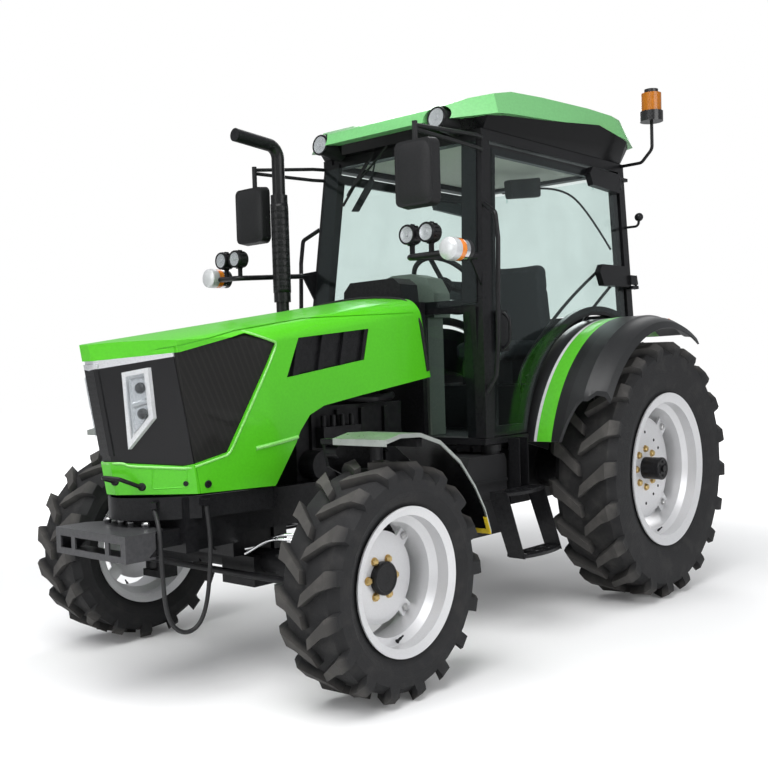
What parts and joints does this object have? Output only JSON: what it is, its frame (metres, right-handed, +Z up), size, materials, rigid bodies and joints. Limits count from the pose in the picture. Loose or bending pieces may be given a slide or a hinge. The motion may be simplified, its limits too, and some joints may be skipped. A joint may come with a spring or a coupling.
{
  "type": "farm tractor",
  "caption": "Compact four-wheel-drive farm tractor with a glazed cab, lifting bonnet, steered front wheels, large rear wheels and a rear three-point linkage.",
  "frame": {"origin": "centre of the bounding box in plan, on the ground", "axes": "+X forward, +Y to the tractor's left, +Z up"},
  "size_m": [3.8599, 1.936, 2.7223],
  "materials": {
    "tyre": "matte",
    "wheel_silver": "satin",
    "black_metal": "satin",
    "dark_casting": "satin",
    "guard_metal": "gloss",
    "green_paint": "gloss",
    "lamp_lens": "gloss",
    "tinted_glass": "gloss",
    "seat_fabric": "matte",
    "black_plastic": "matte",
    "amber_lens": "gloss",
    "beige_lining": "matte",
    "cord_rubber": "matte",
    "bare_steel": "satin"
  },
  "bodies": {
    "chassis": {"beacon": "amber_lens", "cab_floor": "black_metal", "cab_frame": "black_metal", "dashboard": "black_plastic", "drive_shaft": "dark_casting", "engine": "dark_casting", "exhaust": "black_metal", "fender_flares": "black_plastic", "fenders": "green_paint", "front_axle": "dark_casting", "front_bumper": "black_metal", "front_frame": "black_metal", "front_glass": "tinted_glass", "front_loop": "cord_rubber", "fuel_tank": "black_plastic", "gearbox": "dark_casting", "grab_rails": "black_metal", "headliner": "beige_lining", "hitch": "black_metal", "lamp_arms": "black_metal", "lamps": "lamp_lens", "mirrors": "black_plastic", "roof_shell": "green_paint", "roof_trim": "black_plastic", "seat": "seat_fabric", "seat_base": "black_plastic", "steps": "black_metal"},
    "door_left": {"door_frame_left": "black_metal", "door_glass_left": "tinted_glass"},
    "door_right": {"door_frame_right": "black_metal", "door_glass_right": "tinted_glass"},
    "steer_left": {"front_fender_left": "guard_metal", "knuckle_left": "dark_casting"},
    "steer_right": {"front_fender_right": "guard_metal", "knuckle_right": "dark_casting"},
    "hood": {"headlamps": "lamp_lens", "hood_face": "black_plastic", "hood_fittings": "black_metal", "hood_shell": "green_paint"},
    "wheel_front_left": {"hub_front_left": "black_metal", "rim_front_left": "wheel_silver", "tyre_front_left": "tyre"},
    "wheel_front_right": {"hub_front_right": "black_metal", "rim_front_right": "wheel_silver", "tyre_front_right": "tyre"},
    "wheel_rear_left": {"hub_rear_left": "black_metal", "rim_rear_left": "wheel_silver", "tyre_rear_left": "tyre"},
    "wheel_rear_right": {"hub_rear_right": "black_metal", "rim_rear_right": "wheel_silver", "tyre_rear_right": "tyre"},
    "lower_links": {"lower_links": "black_metal"},
    "pto_shaft": {"pto_shaft": "bare_steel"},
    "rear_window": {"rear_window": "tinted_glass"},
    "steering_wheel": {"steering_wheel": "black_plastic"},
    "tie_rod": {"tie_rod": "dark_casting"}
  },
  "joints": [
    {"name": "steer_left", "type": "hinge", "parent": "chassis", "child": "steer_left", "pos_m": [1.18, 0.635, 0.448], "axis": [0, 0, 1], "range_deg": [-38, 38]},
    {"name": "steer_right", "type": "hinge", "parent": "chassis", "child": "steer_right", "pos_m": [1.18, -0.635, 0.448], "axis": [0, 0, 1], "range_deg": [-38, 38]},
    {"name": "tie_rod_slide", "type": "slide", "parent": "chassis", "child": "tie_rod", "axis": [0, 1, 0], "range_m": [-0.1, 0.1]},
    {"name": "spin_front_left", "type": "hinge", "parent": "steer_left", "child": "wheel_front_left", "pos_m": [1.18, 0.8, 0.448], "axis": [0, 1, 0], "continuous": true},
    {"name": "spin_front_right", "type": "hinge", "parent": "steer_right", "child": "wheel_front_right", "pos_m": [1.18, -0.8, 0.448], "axis": [0, 1, 0], "continuous": true},
    {"name": "spin_rear_left", "type": "hinge", "parent": "chassis", "child": "wheel_rear_left", "pos_m": [-0.93, 0.788, 0.668], "axis": [0, 1, 0], "continuous": true},
    {"name": "spin_rear_right", "type": "hinge", "parent": "chassis", "child": "wheel_rear_right", "pos_m": [-0.93, -0.788, 0.668], "axis": [0, 1, 0], "continuous": true},
    {"name": "hood_open", "type": "hinge", "parent": "chassis", "child": "hood", "pos_m": [0.4, 0, 1.515], "axis": [0, -1, 0], "range_deg": [0, 50]},
    {"name": "door_left_open", "type": "hinge", "parent": "chassis", "child": "door_left", "pos_m": [-1.284, 0.588, 1.64], "axis": [0.1317, -0.0823, 0.9879], "range_deg": [0, 60]},
    {"name": "door_right_open", "type": "hinge", "parent": "chassis", "child": "door_right", "pos_m": [-1.284, -0.588, 1.64], "axis": [-0.1317, -0.0823, -0.9879], "range_deg": [0, 60]},
    {"name": "rear_window_open", "type": "hinge", "parent": "chassis", "child": "rear_window", "pos_m": [-1.316, 0, 2.312], "axis": [0, 1, 0], "range_deg": [0, 60]},
    {"name": "lower_links_lift", "type": "hinge", "parent": "chassis", "child": "lower_links", "pos_m": [-1.13, 0, 0.54], "axis": [0, 1, 0], "range_deg": [-12, 35]},
    {"name": "pto_spin", "type": "hinge", "parent": "chassis", "child": "pto_shaft", "pos_m": [-1.33, 0, 0.62], "axis": [1, 0, 0], "continuous": true},
    {"name": "steering_wheel_turn", "type": "hinge", "parent": "chassis", "child": "steering_wheel", "pos_m": [-0.2665, 0, 1.656], "axis": [-0.7511, 0, 0.6601], "range_deg": [-540, 540]}
  ],
  "couplings": [
    {"joint": "steer_right", "follows": "steer_left", "ratio": 1},
    {"joint": "tie_rod_slide", "follows": "steer_left", "m_per_rad": 0.145}
  ]
}
